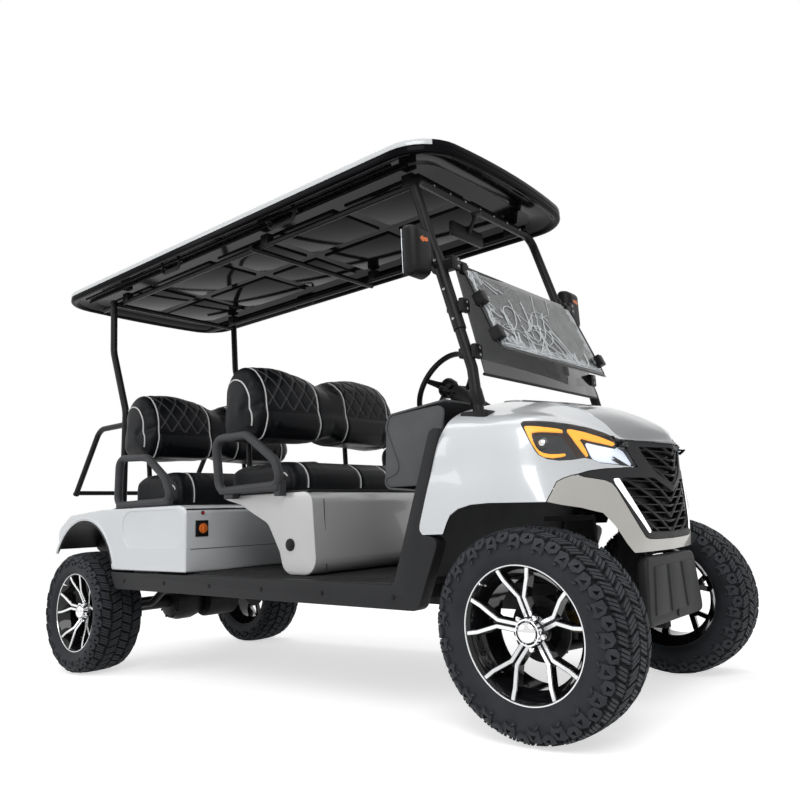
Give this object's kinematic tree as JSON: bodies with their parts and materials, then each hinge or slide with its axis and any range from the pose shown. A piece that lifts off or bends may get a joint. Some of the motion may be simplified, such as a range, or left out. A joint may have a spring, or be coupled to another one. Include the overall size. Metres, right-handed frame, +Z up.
{
  "type": "golf cart",
  "caption": "Electric golf cart with two forward-facing bench seats, long roof, folded windscreen, off-road tyres, working steering, wheels, screen and lifting seats.",
  "frame": {"origin": "on the floor, under the middle of the cart's length and width", "axes": "+X forward, +Y the driver's left, +Z up"},
  "size_m": [3.3248, 1.34, 2.095],
  "materials": {
    "tyre": "moulded rubber",
    "rim": "machined faces over gloss black",
    "body_white": "pearl silver white",
    "hood_silver": "metallic grey",
    "bumper_silver": "warm silver",
    "seat_base_silver": "satin grey silver",
    "trim_black": "fine moulded grain",
    "gloss_black": "gloss black",
    "frame_black": "black powder coat",
    "steel_dark": "dark satin",
    "leather": "grained leatherette",
    "rubber_floor": "ribbed mat",
    "screen": "clear tinted",
    "lamp": "clear lamp over black housing",
    "tail_lamp": "red lens",
    "battery_case": "satin",
    "shock": "satin"
  },
  "bodies": {
    "root": {"arm_rests": "trim_black", "bag_rack": "frame_black", "battery_block": "battery_case", "chassis_frame": "frame_black", "dashboard": "trim_black", "floor_pan": "rubber_floor", "front_bumper": "bumper_silver", "front_cowl": "body_white", "front_seat_back": "leather", "front_seat_base": "seat_base_silver", "front_suspension": "shock", "grille": "trim_black", "headlights": "lamp", "hood_panel": "hood_silver", "mirrors": "trim_black", "pedals": "trim_black", "rear_axle": "steel_dark", "rear_body": "body_white", "rear_seat_back": "leather", "rear_suspension": "shock", "roof": "body_white", "roof_frame": "frame_black", "roof_lining": "gloss_black", "screen_clamps": "frame_black", "seat_frames": "frame_black", "sill_trims": "trim_black", "steering_column": "trim_black", "tail_lamps": "tail_lamp", "tow_cover": "trim_black", "windscreen_lower": "screen"},
    "front_seat_cushion": {"front_seat_cushion": "leather"},
    "knuckle_left": {"knuckle_left": "steel_dark"},
    "knuckle_right": {"knuckle_right": "steel_dark"},
    "rear_seat_cushion": {"rear_seat_cushion": "leather"},
    "wheel_front_left": {"rim_front_left": "rim", "tyre_front_left": "tyre"},
    "wheel_front_right": {"rim_front_right": "rim", "tyre_front_right": "tyre"},
    "wheel_rear_left": {"rim_rear_left": "rim", "tyre_rear_left": "tyre"},
    "wheel_rear_right": {"rim_rear_right": "rim", "tyre_rear_right": "tyre"},
    "steering_wheel": {"steering_wheel": "trim_black"},
    "tie_rod": {"tie_rod": "steel_dark"},
    "windscreen_upper": {"windscreen_upper": "screen"}
  },
  "joints": [
    {"name": "roll_front_right", "type": "hinge", "parent": "knuckle_right", "child": "wheel_front_right", "pos_m": [1.374, -0.543, 0.292], "axis": [0, 1, 0], "continuous": true},
    {"name": "roll_front_left", "type": "hinge", "parent": "knuckle_left", "child": "wheel_front_left", "pos_m": [1.374, 0.543, 0.292], "axis": [0, 1, 0], "continuous": true},
    {"name": "roll_rear_right", "type": "hinge", "parent": "root", "child": "wheel_rear_right", "pos_m": [-1.166, -0.543, 0.292], "axis": [0, 1, 0], "continuous": true},
    {"name": "roll_rear_left", "type": "hinge", "parent": "root", "child": "wheel_rear_left", "pos_m": [-1.166, 0.543, 0.292], "axis": [0, 1, 0], "continuous": true},
    {"name": "steer_left", "type": "hinge", "parent": "root", "child": "knuckle_left", "pos_m": [1.374, 0.44, 0.292], "axis": [0, 0, 1], "range_deg": [-30, 30]},
    {"name": "steer_right", "type": "hinge", "parent": "root", "child": "knuckle_right", "pos_m": [1.374, -0.44, 0.292], "axis": [0, 0, 1], "range_deg": [-30, 30]},
    {"name": "steering_wheel_turn", "type": "hinge", "parent": "root", "child": "steering_wheel", "pos_m": [0.55673, 0.3, 1.2441], "axis": [-0.7986, 0, 0.6018], "range_deg": [-360, 360]},
    {"name": "tie_rod_swing", "type": "hinge", "parent": "knuckle_left", "child": "tie_rod", "pos_m": [1.264, 0.44, 0.2317], "axis": [0, 0, 1], "range_deg": [-30, 30]},
    {"name": "screen_unfold", "type": "hinge", "parent": "root", "child": "windscreen_upper", "pos_m": [1.15253, 0, 1.51447], "axis": [0, -1, 0], "range_deg": [0, 170]},
    {"name": "front_seat_lift", "type": "hinge", "parent": "root", "child": "front_seat_cushion", "pos_m": [-0.06957, 0, 0.78798], "axis": [0, -1, 0], "range_deg": [0, 28]},
    {"name": "rear_seat_lift", "type": "hinge", "parent": "root", "child": "rear_seat_cushion", "pos_m": [-0.83526, 0, 0.7817], "axis": [0, -1, 0], "range_deg": [0, 25]}
  ],
  "couplings": [
    {"joint": "steer_right", "follows": "steer_left", "ratio": 1},
    {"joint": "steering_wheel_turn", "follows": "steer_left", "ratio": 12},
    {"joint": "tie_rod_swing", "follows": "steer_left", "ratio": -1}
  ]
}
